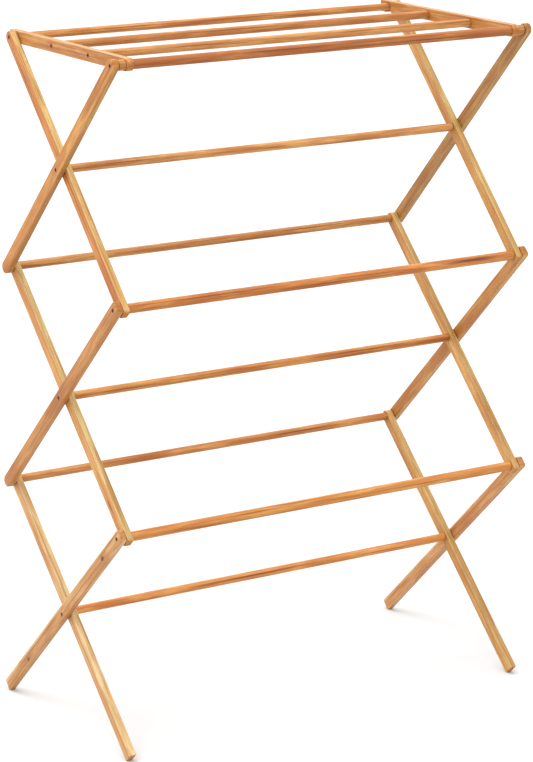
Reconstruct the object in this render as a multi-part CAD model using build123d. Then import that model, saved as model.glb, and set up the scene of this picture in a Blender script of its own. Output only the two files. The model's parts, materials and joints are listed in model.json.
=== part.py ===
from build123d import *
import math
import os

# Folding clothes drying rack of flat bars and dowels. Millimetres.
# X runs along the dowels, -Y is the front, +Z is up, the floor is z = 0.

# ---- driving dimensions -------------------------------------------------
overall_w = 745.0        # over the outer bars' outer faces
bar_w = 19.2             # width of a side bar
bar_t = 10.5             # thickness of a side bar
pitch = 11.9             # plane to plane, bar thickness plus its running gap
rail_t = 11.5            # thickness of a platform rail
rail_w = 19.0            # height of a platform rail
edge_r = 1.1             # eased long edges
square_out = 11.0        # how far a square-cut bar end runs past its pivot
square_r = 4.5           # corner radius of a square-cut end

# half depth and height of each row of pivots
y_top, z_top = 166.0, 1050.0
y_up, z_up = 169.0, 693.5
y_low, z_low = 174.5, 349.0
z_cross_low = 182.0      # height of the lowest crossing
foot_end_z = 5.6         # where a leg's centre line meets its sawn end
foot_flat_z = 0.0        # the low corner of the sawn end is taken off level here

dowel_front_r = 15.0 / 2     # front dowels
dowel_r = 13.0 / 2           # other dowels
dowel_hook_r = 12.0 / 2      # top back dowel, under the platform's hooks
tenon_r = 10.0 / 2           # turned-down ends
socket_depth = 6.5           # blind socket in the outer bars
dowel_chamfer = 0.8
running = 0.05               # radial clearance of a tenon that turns
open_clear = 0.6             # radial clearance where the linkage closes on itself
side_gap = 0.3               # between faces that move past each other

nail_shank_r = 0.8
nail_head_r = 1.5
nail_head_h = 1.0
nail_sink = 0.8              # head below the surface
nail_reach = 12.0            # into the dowel

platform_y = (53.1, -59.4)   # the two dowels of the platform
rail_tail = 20.0             # rail beyond the top back dowel
notch_front = 1.9            # extra room on the hook's front side
spacer_r = 8.0

os.makedirs("parts", exist_ok=True)

# ---- planes across the width --------------------------------------------
x_out = overall_w / 2
outer = (x_out - bar_t, x_out)
inner = (x_out - pitch - bar_t, x_out - pitch)
rail_x = (x_out - 2 * pitch - rail_t, x_out - 2 * pitch)

# ---- pivots (y, z) ------------------------------------------------------
def crossing(y0, z0, y1, z1):
    """Height where a bar from (-y0, z0) to (y1, z1) passes y = 0."""
    return z1 + (z0 - z1) * y1 / (y0 + y1)

F1, B1 = (-y_top, z_top), (y_top, z_top)
F2, B2 = (-y_up, z_up), (y_up, z_up)
F3, B3 = (-y_low, z_low), (y_low, z_low)
C1 = (0.0, crossing(y_top, z_top, y_up, z_up))
C2 = (0.0, crossing(y_up, z_up, y_low, z_low))
C3 = (0.0, z_cross_low)
foot_y = y_low * (z_cross_low - foot_end_z) / (z_low - z_cross_low)
FB, BB = (-foot_y, foot_end_z), (foot_y, foot_end_z)
P2, P3 = (platform_y[0], z_top), (platform_y[1], z_top)


def cyl(r, x0, x1, p):
    """Cylinder along X from x0 to x1 about the pivot p."""
    lo, hi = min(x0, x1), max(x0, x1)
    pl = Plane(origin=(lo, p[0], p[1]), x_dir=(0, 1, 0), z_dir=(1, 0, 0))
    return extrude(pl * Circle(r), amount=hi - lo)


def save(name, shape):
    shape.label = name
    export_step(shape, "parts/" + name + ".step")


# ---- side bars ----------------------------------------------------------
def bar_end(at, foot, square):
    """Profile of one end, drawn along the bar: sawn at a foot, square cut or half round."""
    if foot:
        return None
    if square:
        inward = 20.0
        shift = (square_out - inward) / 2 * (1 if at > 0 else -1)
        return Pos(at + shift, 0) * RectangleRounded(square_out + inward, bar_w, square_r)
    return Pos(at, 0) * Circle(bar_w / 2)


def blank(p, q, x0, x1, foot):
    """Bar from pivot p to pivot q, square cut at the front pivots of the two lower
    rows, half round at the other pivots and sawn at a foot."""
    dy, dz = q[0] - p[0], q[1] - p[1]
    length = math.hypot(dy, dz)
    lo = min(x0, x1)
    pl = Plane(origin=(lo, p[0], p[1]), x_dir=(0, dy / length, dz / length), z_dir=(1, 0, 0))
    sk = Pos(length / 2, 0) * Rectangle(length, bar_w)
    for at, piv, is_foot in ((0.0, p, False), (length, q, foot)):
        end = bar_end(at, is_foot, piv in (F2, F3))
        if end is not None:
            sk += end
    body = extrude(pl * sk, amount=abs(x1 - x0))
    rim = [e for f in body.faces().filter_by(Axis.X) for e in f.edges()]
    body = fillet(rim, edge_r)
    if foot:
        body -= Pos((x0 + x1) / 2, q[0], foot_flat_z - 20) * Box(60, 120, 40)
    return body


def side_bar(p, q, side, plane, foot, through=(), sockets=(), nails=()):
    """side is -1 left, +1 right. through and sockets list (pivot, radius)."""
    x0, x1 = side * plane[0], side * plane[1]
    body = blank(p, q, x0, x1, foot)
    for piv, r in through:
        body -= cyl(r, x0 - side, x1 + side, piv)
    for piv, r in sockets:
        body -= cyl(r, x0 - side, x0 + side * socket_depth, piv)
    for piv in nails:
        body -= cyl(nail_shank_r, x0 - side, x1 + side, piv)
        body -= cyl(nail_head_r + 0.1, x1 - side * (nail_sink + nail_head_h), x1 + side, piv)
    return body


for side, tag in ((-1, "left"), (1, "right")):
    # outer bars run from top front to bottom back
    save("bar_upper_outer_" + tag, side_bar(F1, B2, side, outer, False,
         sockets=((F1, tenon_r), (C1, tenon_r), (B2, tenon_r + running)),
         nails=(F1, C1)))
    save("bar_middle_outer_" + tag, side_bar(F2, B3, side, outer, False,
         sockets=((F2, tenon_r), (C2, tenon_r), (B3, tenon_r + running)),
         nails=(F2, C2)))
    save("leg_outer_" + tag, side_bar(F3, BB, side, outer, True,
         sockets=((F3, tenon_r), (C3, tenon_r)),
         nails=(F3, C3)))
    # inner bars run from top back to bottom front
    x_in = (inner[0], inner[1])
    save("bar_upper_inner_" + tag, side_bar(B1, F2, side, x_in, False,
         through=((C1, tenon_r + open_clear), (F2, tenon_r + running)),
         sockets=((B1, tenon_r),), nails=(B1,)))
    save("bar_middle_inner_" + tag, side_bar(B2, F3, side, x_in, False,
         through=((B2, tenon_r), (C2, tenon_r + open_clear), (F3, tenon_r + running))))
    save("leg_inner_" + tag, side_bar(B3, FB, side, x_in, True,
         through=((B3, tenon_r), (C3, tenon_r + running))))


# ---- dowels -------------------------------------------------------------
def dowel(p, r, shoulder, tip, bore=True):
    """Full radius between the shoulders, turned-down tenons out to the tips."""
    core = cyl(r, -shoulder, shoulder, p)
    core = chamfer(core.edges().filter_by(GeomType.CIRCLE), dowel_chamfer)
    ends = cyl(tenon_r, -tip, tip, p)
    ends = chamfer(ends.edges().filter_by(GeomType.CIRCLE), 0.5)
    body = core + ends
    if bore:
        for s in (-1, 1):
            body -= cyl(nail_shank_r, s * (tip - nail_reach), s * (tip + 2), p)
    return body


outer_tip = outer[0] + socket_depth - 0.5
inner_tip = inner[0] + socket_depth - 0.5
sh = inner[0] - side_gap

save("dowel_top_front", dowel(F1, dowel_front_r, rail_x[0] - side_gap, outer_tip))
save("dowel_top_back", dowel(B1, dowel_hook_r, inner[0], inner_tip))
save("dowel_cross_upper", dowel(C1, dowel_r, sh, outer_tip))
save("dowel_front_upper", dowel(F2, dowel_front_r, sh, outer_tip))
save("dowel_back_upper", dowel(B2, dowel_r, inner[0], outer_tip, bore=False))
save("dowel_cross_middle", dowel(C2, dowel_r, sh, outer_tip))
save("dowel_front_lower", dowel(F3, dowel_front_r, sh, outer_tip))
save("dowel_back_lower", dowel(B3, dowel_r, inner[0], outer_tip, bore=False))
save("dowel_cross_lower", dowel(C3, dowel_r, sh, outer_tip))

rail_tip = rail_x[0] + socket_depth - 0.5
save("platform_dowel_back", dowel(P2, dowel_r, rail_x[0], rail_tip))
save("platform_dowel_front", dowel(P3, dowel_r, rail_x[0], rail_tip))

# ---- platform rails -----------------------------------------------------
for side, tag in ((-1, "left"), (1, "right")):
    x0, x1 = side * rail_x[0], side * rail_x[1]
    lo = min(x0, x1)
    pl = Plane(origin=(lo, 0, z_top), x_dir=(0, 1, 0), z_dir=(1, 0, 0))
    back = y_top + rail_tail
    sk = Pos((back - y_top) / 2, 0) * Rectangle(back + y_top, rail_w)
    sk += Pos(-y_top, 0) * Circle(rail_w / 2)
    # hook: a notch open downwards over the top back dowel
    r_n = dowel_hook_r + side_gap
    sk -= Pos(y_top, 0) * Circle(r_n)
    sk -= Pos(y_top - notch_front / 2, -rail_w / 2) * Rectangle(2 * r_n + notch_front, rail_w)
    sk -= Pos(y_top - notch_front, 0) * Circle(r_n)
    sk -= Pos(y_top - notch_front / 2, r_n / 2) * Rectangle(notch_front, r_n)
    body = extrude(pl * sk, amount=rail_t)
    rim = [e for f in body.faces().filter_by(Axis.X) for e in f.edges()]
    body = fillet(rim, 0.8)
    body -= cyl(tenon_r + running, x0 - side, x1 + side, F1)
    for p in (P2, P3):
        body -= cyl(tenon_r, x0 - side, x0 + side * socket_depth, p)
        body -= cyl(nail_shank_r, x0 - side, x1 + side, p)
        body -= cyl(nail_head_r + 0.1, x1 - side * (nail_sink + nail_head_h), x1 + side, p)
    save("platform_rail_" + tag, body)

    # spacer on the top front dowel, between rail and outer bar
    spacer = cyl(spacer_r, side * (rail_x[1] + side_gap), side * inner[1], F1)
    spacer = chamfer(spacer.edges().filter_by(GeomType.CIRCLE), 0.6)
    spacer -= cyl(tenon_r, 0, side * x_out, F1)
    save("spacer_" + tag, spacer)


# ---- nails --------------------------------------------------------------
def nail(p, side, face, tip):
    """Headed nail driven along X from a bar's face into a dowel's end."""
    top = face - nail_sink
    head = cyl(nail_head_r, side * top, side * (top - nail_head_h), p)
    shank = cyl(nail_shank_r, side * (top - nail_head_h), side * (tip - nail_reach + 0.5), p)
    return head + shank


def nails(name, pivots, face, tip):
    solids = []
    for p in pivots:
        for side in (-1, 1):
            solids += nail(p, side, face, tip).solids()
    save(name, Compound(children=solids))


nails("nails_upper", (F1, C1), outer[1], outer_tip)
nails("nails_middle", (F2, C2), outer[1], outer_tip)
nails("nails_lower", (F3, C3), outer[1], outer_tip)
nails("nails_top_back", (B1,), inner[1], inner_tip)
nails("nails_platform", (P2, P3), rail_x[1], rail_tip)
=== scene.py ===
import bpy
import json
import math
import random
from mathutils import Matrix, Vector


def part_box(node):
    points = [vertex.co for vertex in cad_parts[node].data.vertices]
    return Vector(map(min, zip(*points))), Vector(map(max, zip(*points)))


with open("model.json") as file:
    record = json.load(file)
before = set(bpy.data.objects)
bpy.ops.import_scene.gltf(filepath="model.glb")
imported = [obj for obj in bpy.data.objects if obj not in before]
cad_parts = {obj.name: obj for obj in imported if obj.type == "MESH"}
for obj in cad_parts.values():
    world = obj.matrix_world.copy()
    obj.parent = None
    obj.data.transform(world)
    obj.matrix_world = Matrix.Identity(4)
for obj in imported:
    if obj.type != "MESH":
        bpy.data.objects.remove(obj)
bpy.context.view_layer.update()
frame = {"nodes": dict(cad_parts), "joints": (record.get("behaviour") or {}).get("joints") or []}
nodes = frame["nodes"]
joint = {j["name"]: Vector(j["pos_m"]) for j in frame["joints"]}

# ---------------------------------------------------------------- pivots
F1 = joint["platform_swing"]
F2 = joint["upper_inner_fold"]
F3 = joint["middle_inner_fold"]
B1 = Vector((0, -F1.y, F1.z))
B2 = joint["upper_outer_fold"]
B3 = joint["middle_outer_fold"]
C3 = joint["leg_fold"]


def mid(node):
    lo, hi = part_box(node)
    return (lo + hi) / 2


C1 = mid("dowel_cross_upper")
C2 = mid("dowel_cross_middle")
C1 = Vector((0, C1.y, C1.z))
C2 = Vector((0, C2.y, C2.z))
BAR_W = 0.0192
LIGHT = (0.71, 0.67, 0.44)     # albedo that reads as a given colour under the lights below


# ---------------------------------------------------------------- node helper
class Tree:
    """Small helper that adds shader nodes and joins them."""

    def __init__(self, name):
        self.mat = bpy.data.materials.new(name)
        self.mat.use_nodes = True
        self.t = self.mat.node_tree
        self.t.nodes.clear()
        self.out = self.t.nodes.new("ShaderNodeOutputMaterial")
        self.bsdf = self.t.nodes.new("ShaderNodeBsdfPrincipled")
        self.t.links.new(self.bsdf.outputs[0], self.out.inputs[0])

    def put(self, socket, value):
        if isinstance(value, bpy.types.NodeSocket):
            self.t.links.new(value, socket)
        elif value is not None:
            socket.default_value = value

    def math(self, op, a, b=None, c=None, clamp=False):
        n = self.t.nodes.new("ShaderNodeMath")
        n.operation = op
        n.use_clamp = clamp
        for s, v in zip(n.inputs, (a, b, c)):
            self.put(s, v)
        return n.outputs[0]

    def mul_add(self, a, b, c):
        return self.math("MULTIPLY_ADD", a, b, c)

    def vec(self, op, a, b=None):
        n = self.t.nodes.new("ShaderNodeVectorMath")
        n.operation = op
        self.put(n.inputs[0], a)
        if b is not None:
            self.put(n.inputs[1], b)
        return n.outputs["Value"] if op in ("LENGTH", "DOT_PRODUCT", "DISTANCE") else n.outputs[0]

    def xyz(self, v):
        n = self.t.nodes.new("ShaderNodeSeparateXYZ")
        self.put(n.inputs[0], v)
        return n.outputs

    def join(self, x, y, z):
        n = self.t.nodes.new("ShaderNodeCombineXYZ")
        for s, v in zip(n.inputs, (x, y, z)):
            self.put(s, v)
        return n.outputs[0]

    def noise(self, v, scale, detail=2.0, rough=0.5, dim="3D", w=0.0):
        n = self.t.nodes.new("ShaderNodeTexNoise")
        n.noise_dimensions = dim
        self.put(n.inputs["Vector"], v)
        n.inputs["Scale"].default_value = scale
        n.inputs["Detail"].default_value = detail
        n.inputs["Roughness"].default_value = rough
        if dim == "4D":
            n.inputs["W"].default_value = w
        return n.outputs[0]

    def remap(self, v, a, b, c=0.0, d=1.0, smooth=True):
        n = self.t.nodes.new("ShaderNodeMapRange")
        n.interpolation_type = "SMOOTHSTEP" if smooth else "LINEAR"
        self.put(n.inputs[0], v)
        for s, x in zip(n.inputs[1:5], (a, b, c, d)):
            self.put(s, x)
        return n.outputs[0]

    def ramp(self, v, stops, mode="LINEAR"):
        n = self.t.nodes.new("ShaderNodeValToRGB")
        n.color_ramp.interpolation = mode
        e = n.color_ramp.elements
        while len(e) < len(stops):
            e.new(0.5)
        for el, (p, c) in zip(e, stops):
            el.position = p
            el.color = (*c, 1) if len(c) == 3 else c
        self.put(n.inputs[0], v)
        return n.outputs[0]

    def mix(self, f, a, b, mode="MIX"):
        n = self.t.nodes.new("ShaderNodeMix")
        n.data_type = "RGBA"
        n.blend_type = mode
        self.put(n.inputs[0], f)
        self.put(n.inputs[6], a)
        self.put(n.inputs[7], b)
        return n.outputs[2]


def srgb(r, g, b):
    return tuple((c / 255 / 12.92) if c <= 10 else ((c / 255 + 0.055) / 1.055) ** 2.4 for c in (r, g, b))


# ---------------------------------------------------------------- wood
def wood(name, origin, along, across, seed, look, half=None, density=430.0, figure=1.0,
         streak=1.0, edge=(1.0, 1.12, 1.28), knots=(), stains=(), pivots=()):
    """Softwood cut from a log: growth rings round a pith that runs nearly along the piece.

    origin, along and across give the piece's own frame, in the row frame. look is the
    piece's overall colour, density is rings per metre, half is the half width and half
    thickness of a flat bar, the narrow-face tint is painted sheen and shade on its narrow
    faces, knots lists (u, v, radius), stains lists (u, v, length, width, strength) and
    pivots lists distances along it, where a dark spot of painted shade and nail stain goes.
    """
    r = random.Random(seed)
    k = Tree(name)
    u, v = along.normalized(), across.normalized()
    w = u.cross(v)
    tex = k.t.nodes.new("ShaderNodeTexCoord")
    rel = k.vec("SUBTRACT", tex.outputs["Object"], tuple(origin))
    U, V, W = (k.vec("DOT_PRODUCT", rel, tuple(d)) for d in (u, v, w))
    p = k.join(U, V, W)

    def shifted(fu, fv, fw):
        return k.vec("ADD", k.vec("MULTIPLY", p, (fu, fv, fw)), tuple(r.uniform(0, 60) for _ in range(3)))

    # knots push the grain aside and show as dark ovals
    knot_mask = None
    knot_push = None
    for ku, kv, kr in knots:
        du = k.math("MULTIPLY", k.math("SUBTRACT", U, ku), 0.6)
        dv = k.math("SUBTRACT", V, kv)
        d = k.vec("LENGTH", k.join(du, dv, 0.0))
        d = k.mul_add(k.math("SUBTRACT", k.noise(p, 260.0, 2.0), 0.5), kr * 0.6, d)
        m = k.remap(d, kr * 1.05, kr * 0.5)
        g = k.remap(d, kr * 4.5, kr * 0.3)
        knot_mask = m if knot_mask is None else k.math("MAXIMUM", knot_mask, m)
        knot_push = g if knot_push is None else k.math("MAXIMUM", knot_push, g)

    # distance from the pith, with slow wander along the length
    ang = r.uniform(0, 2 * math.pi)
    dist = r.uniform(0.012, 0.040)
    vv = k.mul_add(U, r.uniform(-0.02, 0.02), k.math("SUBTRACT", V, dist * math.cos(ang)))
    ww = k.mul_add(U, r.uniform(-0.02, 0.02), k.math("SUBTRACT", W, dist * math.sin(ang)))
    vv = k.mul_add(k.math("SUBTRACT", k.noise(shifted(3.1, 0, 0), 1.0, 1.0), 0.5), 0.016, vv)
    ww = k.mul_add(k.math("SUBTRACT", k.noise(shifted(2.3, 0, 0), 1.0, 1.0), 0.5), 0.016, ww)
    rad = k.vec("LENGTH", k.join(vv, ww, 0.0))
    rad = k.mul_add(k.math("SUBTRACT", k.noise(shifted(11.0, 150.0, 150.0), 1.0, 2.0), 0.5), 0.0016, rad)
    if knot_push is not None:
        rad = k.mul_add(knot_push, 0.0045, rad)
    ring = k.math("FRACT", k.mul_add(rad, density, r.uniform(0, 1)))
    late = k.ramp(ring, [(0.0, (0.12,) * 3), (0.06, (0.0,) * 3), (0.45, (0.16,) * 3), (0.78, (0.62,) * 3), (0.93, (1.0,) * 3), (1.0, (0.35,) * 3)])
    # ring strength varies from year to year and along the piece
    vary = k.noise(k.join(k.math("MULTIPLY", U, 2.0), k.math("MULTIPLY", rad, density * 0.4), r.uniform(0, 50)), 1.0, 1.0)
    late = k.math("MULTIPLY", late, k.remap(vary, 0.25, 0.8, 0.30, 1.0))

    fib = k.noise(shifted(20.0, 1500.0, 1500.0), 1.0, 3.0, 0.6)
    fib2 = k.noise(shifted(60.0, 3600.0, 3600.0), 1.0, 2.0, 0.6)
    broad = k.remap(k.noise(shifted(9.0, 120.0, 120.0), 1.0, 2.0, 0.5), 0.44, 0.66)
    thin = k.remap(k.noise(shifted(6.0, 300.0, 300.0), 1.0, 2.0, 0.55), 0.52, 0.70)
    cloud = k.noise(shifted(8.0, 30.0, 30.0), 1.0, 2.0, 0.55)
    flare = k.noise(shifted(17.0, 70.0, 70.0), 1.0, 1.0)
    tick = k.remap(k.noise(shifted(34.0, 400.0, 400.0), 1.0, 2.0, 0.6), 0.46, 0.64)
    base = [c * f for c, f in zip(srgb(*look), LIGHT)]

    def shade(*f):
        return (*(max(0.0, min(1.0, c * x)) for c, x in zip(base, f)), 1)

    col = k.mix(k.remap(cloud, 0.34, 0.66), shade(0.96, 0.88, 0.78), shade(1.30, 1.42, 1.60))
    col = k.mix(k.remap(flare, 0.54, 0.68, 0.0, 0.6), col, shade(1.40, 1.62, 1.95))
    col = k.mix(k.math("MULTIPLY", late, 0.66 * figure, clamp=True), col, shade(0.82, 0.62, 0.44))
    col = k.mix(k.math("MULTIPLY", broad, 0.66 * streak, clamp=True), col, shade(0.80, 0.56, 0.38))
    col = k.mix(k.math("MULTIPLY", thin, 0.75 * streak, clamp=True), col, shade(0.52, 0.30, 0.16))
    col = k.mix(k.math("MULTIPLY", tick, 0.42 * figure, clamp=True), col, shade(0.70, 0.50, 0.34))
    col = k.mix(k.remap(fib, 0.34, 0.66, 0.24, 0.0), col, shade(0.66, 0.50, 0.36))
    # brown flows of resin at given places
    for su, sv, sl, sw, amount in stains:
        d = k.vec("LENGTH", k.join(k.math("DIVIDE", k.math("SUBTRACT", U, su), sl), k.math("DIVIDE", k.math("SUBTRACT", V, sv), sw), 0.0))
        d = k.mul_add(k.math("SUBTRACT", fib, 0.5), 0.9, d)
        col = k.mix(k.remap(d, 1.1, 0.15, 0.0, amount), col, shade(0.34, 0.16, 0.08))
    if knot_mask is not None:
        col = k.mix(k.math("MULTIPLY", knot_push, 0.45), col, shade(0.70, 0.46, 0.28))
        grain = k.noise(shifted(300.0, 520.0, 520.0), 1.0, 2.0)
        col = k.mix(k.math("MULTIPLY", knot_mask, 0.94), col, k.mix(grain, shade(0.10, 0.05, 0.03), shade(0.30, 0.17, 0.10)))

    # end grain drinks the finish: darker, redder and duller
    end = k.math("ABSOLUTE", k.vec("DOT_PRODUCT", tex.outputs["Normal"], tuple(u)))
    end = k.remap(end, 0.72, 0.97)
    col = k.mix(k.math("MULTIPLY", end, 0.60), col, shade(0.62, 0.44, 0.34))

    # the narrow faces get a per-piece tint of painted sheen and shade; handled arrises are paler still, the finish worn
    # thin there
    wear = None
    if half is not None:
        # painted sheen and shade: each bar's narrow faces are multiplied by its narrow-face tint
        sheen_shade_rim = k.remap(k.math("ABSOLUTE", V), half[0] - 0.0010, half[0] - 0.0003)
        col = k.mix(k.math("MULTIPLY", sheen_shade_rim, k.math("SUBTRACT", 1.0, end)), col, k.mix(1.0, col, (*edge, 1), "MULTIPLY"))
        ev = k.remap(k.math("ABSOLUTE", V), half[0] - 0.0014, half[0] - 0.0001)
        ew = k.remap(k.math("ABSOLUTE", W), half[1] - 0.0014, half[1] - 0.0001)
        patch = k.noise(shifted(40.0, 90.0, 90.0), 1.0, 3.0)
        wear = k.math("MULTIPLY", k.math("MULTIPLY", ev, ew), k.remap(patch, 0.35, 0.65, 0.25, 1.0))
        col = k.mix(k.math("MULTIPLY", wear, 0.55), col, shade(1.34, 1.62, 1.95))

    # a dark spot round each pivot: painted shade of the nail hole and of the joint between the parts, over the real
    # mark the nail leaves
    for pu in pivots:
        d = k.vec("LENGTH", k.join(k.math("SUBTRACT", U, pu), V, 0.0))
        d = k.mul_add(k.math("SUBTRACT", fib, 0.5), 0.002, d)
        col = k.mix(k.remap(d, 0.0042, 0.0024, 0.0, 0.92), col, shade(0.12, 0.07, 0.04))

    k.put(k.bsdf.inputs["Base Color"], col)
    rough = k.mul_add(fib, 0.16, 0.36)
    rough = k.math("ADD", rough, k.math("MULTIPLY", end, 0.25))
    if wear is not None:
        rough = k.mul_add(wear, 0.15, rough)
    k.put(k.bsdf.inputs["Roughness"], rough)
    k.bsdf.inputs["Specular IOR Level"].default_value = 0.26
    k.bsdf.inputs["Coat Weight"].default_value = 0.05
    k.bsdf.inputs["Coat Roughness"].default_value = 0.36
    h = k.mul_add(fib2, 0.35, k.math("MULTIPLY", fib, 0.5))
    h = k.mul_add(late, 0.45, h)
    b = k.t.nodes.new("ShaderNodeBump")
    b.inputs["Strength"].default_value = 0.45
    b.inputs["Distance"].default_value = 0.00022
    k.put(b.inputs["Height"], h)
    k.put(k.bsdf.inputs["Normal"], b.outputs[0])
    return k.mat


def steel(name, seed):
    """Dull wire nail with a dimpled, slightly rusted head."""
    k = Tree(name)
    tex = k.t.nodes.new("ShaderNodeTexCoord")
    p = tex.outputs["Object"]
    n1 = k.noise(p, 900.0, 3.0)
    n2 = k.noise(k.vec("ADD", p, (seed * 1.7, 0.0, 0.0)), 3200.0, 2.0)
    col = k.mix(k.remap(n1, 0.42, 0.66), (*srgb(62, 50, 42), 1), (*srgb(44, 26, 16), 1))
    k.put(k.bsdf.inputs["Base Color"], col)
    k.bsdf.inputs["Metallic"].default_value = 0.6
    k.put(k.bsdf.inputs["Roughness"], k.remap(n2, 0.3, 0.7, 0.45, 0.75))
    b = k.t.nodes.new("ShaderNodeBump")
    b.inputs["Strength"].default_value = 0.4
    b.inputs["Distance"].default_value = 0.0001
    k.put(b.inputs["Height"], n2)
    k.put(k.bsdf.inputs["Normal"], b.outputs[0])
    return k.mat


def give(node, mat):
    o = nodes[node]
    o.data.materials.clear()
    o.data.materials.append(mat)


def bar(node, a, b, seed, look, **kw):
    lo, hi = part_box(node)
    o = Vector(((lo.x + hi.x) / 2, a.y, a.z))
    d = Vector((0, b.y - a.y, b.z - a.z))
    kw.setdefault("half", (BAR_W / 2, (hi.x - lo.x) / 2))
    give(node, wood("wood_" + node, o, d, Vector((1, 0, 0)).cross(d), seed, look, **kw))


def rod(node, seed, look, **kw):
    lo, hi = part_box(node)
    c = (lo + hi) / 2
    kw = {"density": 520.0, "streak": 1.2, **kw}
    give(node, wood("wood_" + node, Vector((lo.x, c.y, c.z)), Vector((1, 0, 0)), Vector((0, 0, 1)), seed, look, **kw))


foot_f = Vector((0, -0.1777, 0.0056))
foot_b = Vector((0, 0.1777, 0.0056))
# the narrow-face tint given to each bar below is painted sheen and shade on its narrow faces
bar("bar_upper_outer_left", F1, B2, 11, (209, 150, 90), edge=(0.86, 0.95, 1.25), pivots=(0.0, (C1 - F1).length), stains=((0.085, 0.0, 0.05, 0.006, 0.5),))
bar("bar_upper_outer_right", F1, B2, 12, (176, 130, 83), edge=(1.14, 1.26, 1.40))
bar("bar_upper_inner_left", B1, F2, 13, (213, 147, 92), edge=(0.97, 1.55, 2.30), pivots=(0.0,), stains=((0.06, 0.002, 0.05, 0.003, 0.6),))
bar("bar_upper_inner_right", B1, F2, 14, (209, 160, 106), edge=(0.90, 1.18, 1.60))
bar("bar_middle_outer_left", F2, B3, 15, (194, 137, 88), edge=(1.12, 1.20, 1.35), pivots=(0.0, (C2 - F2).length))
bar("bar_middle_outer_right", F2, B3, 16, (193, 138, 86), edge=(1.14, 1.28, 1.50))
bar("bar_middle_inner_left", B2, F3, 17, (216, 163, 112), edge=(0.82, 1.15, 1.55), stains=((0.431, 0.001, 0.014, 0.0032, 0.9),), pivots=((F3 - B2).length - 0.0085,))
bar("bar_middle_inner_right", B2, F3, 18, (211, 162, 111), edge=(0.76, 0.92, 1.10))
bar("leg_outer_left", F3, foot_b, 19, (208, 160, 118), edge=(1.08, 1.28, 1.75), pivots=(0.0, (C3 - F3).length), knots=((0.060, 0.0, 0.0040), (0.397, 0.001, 0.0036)))
bar("leg_outer_right", F3, foot_b, 20, (206, 153, 114), edge=(1.10, 1.34, 1.65))
bar("leg_inner_left", B3, foot_f, 21, (222, 178, 140), edge=(0.90, 1.10, 1.35))
bar("leg_inner_right", B3, foot_f, 22, (210, 162, 110), edge=(0.80, 0.95, 1.15))
bar("platform_rail_left", F1, B1, 23, (205, 148, 96), half=(0.0095, 0.00575), pivots=(mid("platform_dowel_front").y - F1.y, mid("platform_dowel_back").y - F1.y))
bar("platform_rail_right", F1, B1, 24, (200, 142, 90), half=(0.0095, 0.00575))
for i, (n, look, flows) in enumerate((
        ("dowel_top_front", (184, 118, 66), ((0.30, 0.003, 0.16, 0.0012, 0.8), (0.56, -0.001, 0.10, 0.0012, 0.8))),
        ("dowel_top_back", (204, 143, 88), ((0.20, 0.002, 0.12, 0.0012, 0.8), (0.50, -0.001, 0.08, 0.0010, 0.7))),
        ("dowel_cross_upper", (208, 153, 106), ((0.12, 0.002, 0.11, 0.0012, 0.8),)),
        ("dowel_front_upper", (203, 137, 82), ((0.64, 0.003, 0.07, 0.0034, 1.0), (0.16, 0.004, 0.13, 0.0012, 0.8), (0.42, -0.001, 0.06, 0.0010, 0.6))),
        ("dowel_back_upper", (193, 139, 92), ((0.55, 0.003, 0.09, 0.0012, 0.8),)),
        ("dowel_cross_middle", (206, 146, 90), ((0.12, 0.000, 0.08, 0.0022, 0.7), (0.56, 0.003, 0.12, 0.0014, 0.85))),
        ("dowel_front_lower", (215, 155, 96), ((0.24, 0.004, 0.10, 0.0012, 0.7), (0.52, 0.001, 0.09, 0.0010, 0.6))),
        ("dowel_back_lower", (198, 139, 90), ((0.55, 0.002, 0.10, 0.0014, 0.9), (0.20, 0.003, 0.08, 0.0010, 0.7))),
        ("dowel_cross_lower", (216, 152, 97), ((0.33, 0.002, 0.14, 0.0018, 0.95), (0.60, 0.000, 0.07, 0.0012, 0.8))),
        ("platform_dowel_back", (196, 135, 85), ((0.30, 0.003, 0.16, 0.0012, 0.8),)),
        ("platform_dowel_front", (211, 156, 107), ((0.18, 0.002, 0.10, 0.0012, 0.8), (0.46, 0.003, 0.08, 0.0010, 0.7))))):
    rod(n, 40 + i, look, stains=flows)
for i, n in enumerate(("spacer_left", "spacer_right")):
    lo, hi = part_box(n)
    give(n, wood("wood_" + n, (lo + hi) / 2, Vector((1, 0, 0)), Vector((0, 1, 0)), 60 + i, (198, 142, 94), density=600.0))
for i, n in enumerate(sorted(x for x in nodes if x.startswith("nails"))):
    give(n, steel("steel_" + n, i))

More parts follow.
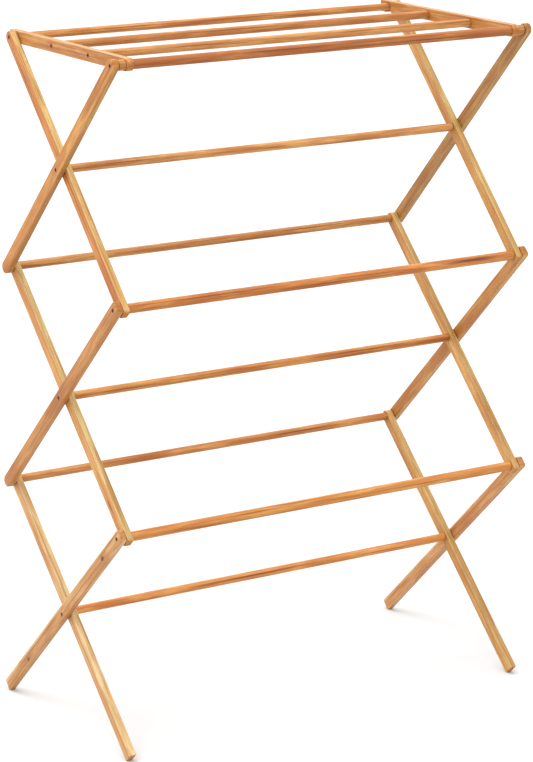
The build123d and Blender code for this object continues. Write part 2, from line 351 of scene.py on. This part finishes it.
# ---------------------------------------------------------------- floor
me = bpy.data.meshes.new("floor")
S = 40.0
me.from_pydata([(-S, -S, 0), (S, -S, 0), (S, S, 0), (-S, S, 0)], [], [(0, 1, 2, 3)])
floor = bpy.data.objects.new("floor", me)
bpy.context.scene.collection.objects.link(floor)
floor.location = (0, 0, -0.0004)
fm = bpy.data.materials.new("floor_paint")
fm.use_nodes = True
fb = fm.node_tree.nodes["Principled BSDF"]
fb.inputs["Base Color"].default_value = (0.55, 0.55, 0.55, 1)
fb.inputs["Roughness"].default_value = 0.9
fb.inputs["Specular IOR Level"].default_value = 0.0
me.materials.append(fm)

# ---------------------------------------------------------------- light
scene = bpy.context.scene
scene.view_settings.view_transform = "Standard"
scene.view_settings.look = "None"
scene.view_settings.exposure = 0.0
world = bpy.data.worlds.new("studio")
scene.world = world
world.use_nodes = True
bgn = world.node_tree.nodes["Background"]
bgn.inputs[0].default_value = (1.0, 1.0, 1.0, 1)
bgn.inputs[1].default_value = 1.60


def sun(name, direction, strength, angle, color=(1, 1, 1)):
    li = bpy.data.lights.new(name, "SUN")
    li.energy = strength
    li.angle = math.radians(angle)
    li.color = color
    o = bpy.data.objects.new(name, li)
    scene.collection.objects.link(o)
    o.rotation_euler = (-Vector(direction)).to_track_quat("-Z", "Y").to_euler()
    return o


sun("overhead", (-0.27, 0.10, 0.95), 2.1, 50)

# ---------------------------------------------------------------- camera
K = 0.985
az, el, roll = math.radians(-32.45251598744418), math.radians(12.98400894111918), math.radians(0.22330243365534577)
back = Vector((math.sin(az) * math.cos(el), -math.cos(az) * math.cos(el), math.sin(el)))
right = Vector((math.cos(az), math.sin(az), 0))
up = back.cross(right)
cr, sr = math.cos(roll), math.sin(roll)
right, up = right * cr + up * sr, up * cr - right * sr
cam = bpy.data.cameras.new("camera")
camo = bpy.data.objects.new("camera", cam)
scene.collection.objects.link(camo)
camo.matrix_world = Matrix.Translation(Vector((-2408.072315, -3784.357528, 1685.021518 + 9.8)) * K / 1000) @ Matrix((right, up, back)).transposed().to_4x4()
cam.sensor_fit = "AUTO"
cam.sensor_width = 36.0
cam.lens = 2897.768149 / 762 * 36.0
cam.shift_x = 0.0
cam.shift_y = (287.0703758 - 381.0) / 762
cam.clip_start = 0.1
cam.clip_end = 200
cam.dof.use_dof = False
scene.camera = camo
